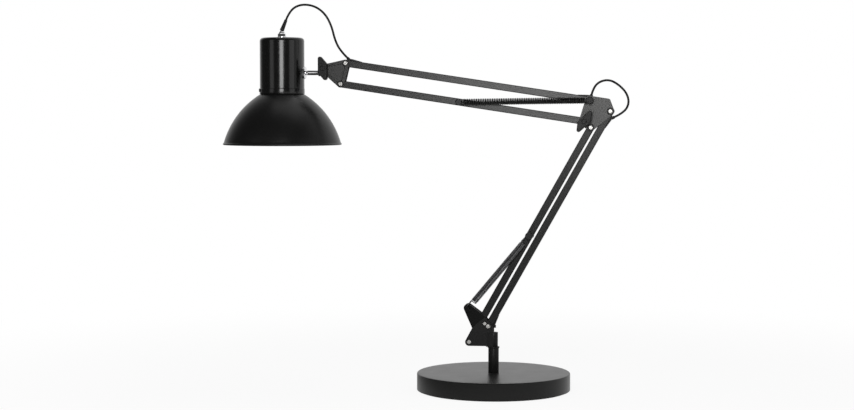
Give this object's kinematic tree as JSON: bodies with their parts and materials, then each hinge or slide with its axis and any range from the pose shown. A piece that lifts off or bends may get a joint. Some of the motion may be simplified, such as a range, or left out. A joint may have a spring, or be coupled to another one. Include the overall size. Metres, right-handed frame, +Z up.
{
  "type": "desk lamp",
  "caption": "Round-based desk lamp with two parallel-link arms of square tube, external balance springs, wing-nut joints and a bowl shade on a cylindrical head.",
  "frame": {"origin": "centre of the flat underside of the round base, on the table", "axes": "+Z up; the arms swing in the XZ plane with the head over -X; the wing nuts face -Y"},
  "size_m": [0.5821, 0.218, 0.5504],
  "materials": {
    "black_lacquer": "satin black powder coat on sheet steel",
    "gloss_black": "semi-gloss black lacquer on spun steel",
    "grey_lacquer": "satin charcoal lacquer on sheet steel",
    "nickel": "nickel-plated rivet steel",
    "chrome": "polished chrome plate",
    "zinc": "zinc-plated steel",
    "black_plastic": "moulded black nylon with a fine grain",
    "bakelite": "black phenolic moulding",
    "spring_steel": "black-oxide spring wire",
    "cord_rubber": "black flexible cord sheath",
    "pad_rubber": "black foam rubber pad",
    "iron": "rough grey cast iron",
    "frosted_glass": "frosted lamp glass"
  },
  "bodies": {
    "base": {"base_cover": "black_lacquer", "base_ballast": "iron", "base_plate": "zinc", "base_pad": "pad_rubber", "socket_tube": "black_lacquer", "socket_nut": "zinc", "socket_bush": "black_plastic"},
    "lower_bracket": {"swivel_pin": "black_lacquer", "bracket_shell": "black_lacquer", "spring_levers": "black_lacquer", "shoulder_rivets": "nickel", "lever_rivets": "nickel", "shoulder_washers": "black_plastic", "lever_pegs": "black_lacquer", "lower_springs": "spring_steel"},
    "lower_right_arm": {"lower_right_tube": "black_lacquer", "lower_right_bushes": "black_plastic", "lower_cord_inserts": "black_plastic", "lower_inner_cord": "cord_rubber"},
    "lower_left_arm": {"lower_left_tube": "black_lacquer", "lower_left_bushes": "black_plastic", "lower_spring_bolt": "zinc", "lower_spring_caps": "black_plastic"},
    "elbow": {"elbow_plates": "grey_lacquer", "elbow_rivets": "nickel", "elbow_washers": "black_plastic", "elbow_rings": "black_plastic", "elbow_spring_stud": "spring_steel", "elbow_stud_cap": "black_plastic", "elbow_bolt": "zinc", "elbow_cord": "cord_rubber", "upper_spring": "spring_steel"},
    "elbow_nut": {"elbow_wing_nut": "black_plastic"},
    "upper_top_arm": {"upper_top_tube": "black_lacquer", "upper_top_bushes": "black_plastic", "upper_cord_inserts": "black_plastic", "upper_inner_cord": "cord_rubber"},
    "upper_bottom_arm": {"upper_bottom_tube": "black_lacquer", "upper_bottom_bushes": "black_plastic", "upper_spring_screw": "spring_steel"},
    "head_bracket": {"head_plates": "black_lacquer", "head_rivets": "nickel", "head_washers": "black_plastic", "head_rings": "black_plastic", "head_bolt": "zinc", "friction_discs": "black_plastic"},
    "head_nut": {"head_wing_nut": "black_plastic"},
    "head_knuckle": {"rod_eye": "zinc", "chrome_rod": "chrome", "rod_nut": "zinc"},
    "head": {"rod_flange": "chrome", "head_housing": "gloss_black", "shade": "gloss_black", "shade_screws": "spring_steel", "lampholder": "bakelite", "bulb_cap": "zinc", "bulb": "frosted_glass", "cord_nipple": "chrome", "strain_relief": "black_plastic", "head_cord": "cord_rubber"}
  },
  "joints": [
    {"name": "base_swivel", "type": "hinge", "parent": "base", "child": "lower_bracket", "pos_m": [0, 0, 0.06], "axis": [0, 0, 1], "continuous": true},
    {"name": "shoulder", "type": "hinge", "parent": "lower_bracket", "child": "lower_right_arm", "pos_m": [-0.007, 0, 0.0915], "axis": [0, -1, 0], "range_deg": [-3, 58], "deforming": ["lower_springs"]},
    {"name": "lower_left_pivot", "type": "hinge", "parent": "lower_bracket", "child": "lower_left_arm", "pos_m": [-0.0344, 0, 0.0688], "axis": [0, -1, 0], "range_deg": [-3, 58]},
    {"name": "elbow_pivot", "type": "hinge", "parent": "lower_right_arm", "child": "elbow", "pos_m": [0.16428, 0, 0.39672], "axis": [0, -1, 0], "range_deg": [-58, 3], "deforming": ["elbow_cord"]},
    {"name": "elbow_nut_turn", "type": "hinge", "parent": "elbow", "child": "elbow_nut", "pos_m": [0.12838, 0, 0.38262], "axis": [0, -1, 0], "continuous": true},
    {"name": "upper_arm", "type": "hinge", "parent": "elbow", "child": "upper_top_arm", "pos_m": [0.13558, 0, 0.41212], "axis": [0, -1, 0], "range_deg": [-45, 50], "deforming": ["upper_spring"]},
    {"name": "upper_bottom_pivot", "type": "hinge", "parent": "elbow", "child": "upper_bottom_arm", "pos_m": [0.12838, 0, 0.38262], "axis": [0, -1, 0], "range_deg": [-45, 50]},
    {"name": "head_bracket_pivot", "type": "hinge", "parent": "upper_top_arm", "child": "head_bracket", "pos_m": [-0.21243, 0, 0.46494], "axis": [0, -1, 0], "range_deg": [-50, 45]},
    {"name": "head_nut_turn", "type": "hinge", "parent": "head_bracket", "child": "head_nut", "pos_m": [-0.24393, 0, 0.45754], "axis": [0, -1, 0], "continuous": true},
    {"name": "head_tilt", "type": "hinge", "parent": "head_bracket", "child": "head_knuckle", "pos_m": [-0.24393, 0, 0.45754], "axis": [0, -1, 0], "range_deg": [-60, 18], "deforming": ["head_cord"]},
    {"name": "head_swivel", "type": "hinge", "parent": "head_knuckle", "child": "head", "pos_m": [-0.30613, 0, 0.45164], "axis": [1, 0, 0], "range_deg": [-90, 90]}
  ],
  "couplings": [
    {"joint": "lower_left_pivot", "follows": "shoulder", "ratio": 1},
    {"joint": "elbow_pivot", "follows": "shoulder", "ratio": -1},
    {"joint": "upper_bottom_pivot", "follows": "upper_arm", "ratio": 1},
    {"joint": "head_bracket_pivot", "follows": "upper_arm", "ratio": -1}
  ]
}
